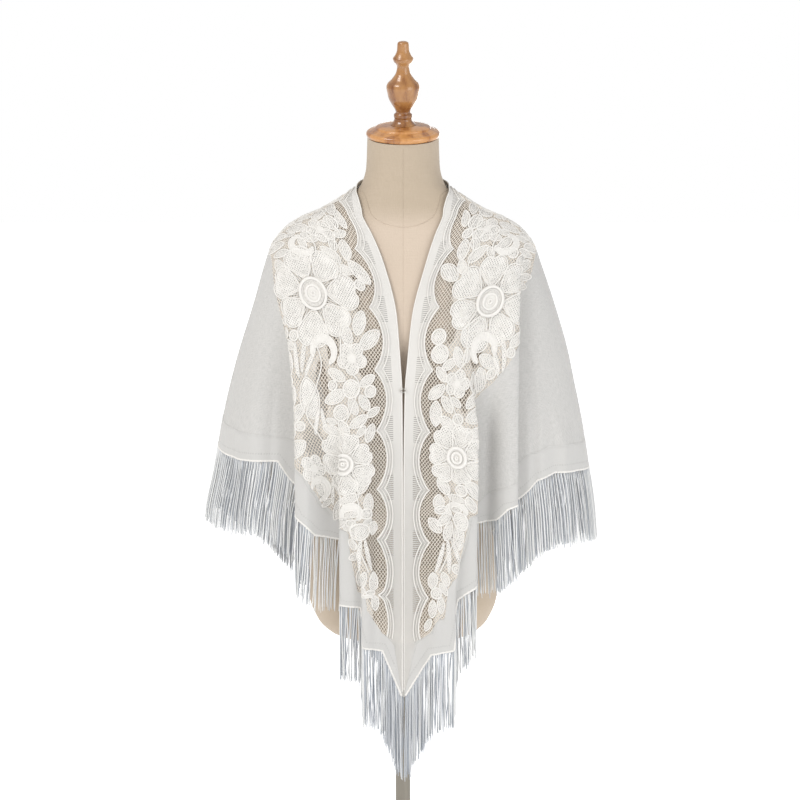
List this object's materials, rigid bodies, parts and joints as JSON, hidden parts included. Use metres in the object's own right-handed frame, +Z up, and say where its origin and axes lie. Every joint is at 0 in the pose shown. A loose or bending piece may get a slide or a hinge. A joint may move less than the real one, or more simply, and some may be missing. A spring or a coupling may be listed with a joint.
{
  "type": "lace shawl on dress form",
  "caption": "Triangular lace shawl with a fringed hem and a hook at the bust, draped on a limbless dress form with a wooden neck cap and finial, a steel pole and a round base.",
  "frame": {"origin": "centre of the round base's underside, on the floor", "axes": "+Z up, -Y towards the front of the shawl and of the form, +X to the viewer's right when the front is seen"},
  "size_m": [0.6505, 0.35, 1.5904],
  "materials": {
    "voile": "plain off-white voile, slightly sheer",
    "lace": "off-white machine lace and fringe",
    "linen": "natural linen stretched over the form",
    "wood": "clear gloss varnish",
    "steel": "brushed",
    "painted": "satin off-white paint"
  },
  "bodies": {
    "root": {"edge_band_left": "lace", "lace_border_front_left": "lace", "lace_border_back_left": "lace", "plain_field_front_left": "voile", "plain_field_side_left": "voile", "plain_field_back_left": "voile", "plain_field_low_back_left": "voile", "scallop_cord_left": "lace", "fringe_left": "lace", "flower_left_1": "lace", "flower_centre_left_1": "lace", "flower_left_2": "lace", "flower_centre_left_2": "lace", "edge_band_right": "lace", "lace_border_front_right": "lace", "lace_border_back_right": "lace", "plain_field_front_right": "voile", "plain_field_side_right": "voile", "plain_field_back_right": "voile", "plain_field_low_back_right": "voile", "scallop_cord_right": "lace", "fringe_right": "lace", "flower_right_1": "lace", "flower_centre_right_1": "lace", "flower_right_2": "lace", "flower_centre_right_2": "lace", "hook": "steel", "torso": "linen", "neck_cap": "wood", "finial": "wood", "socket_plate": "steel", "pole": "steel", "base": "painted"}
  },
  "joints": []
}
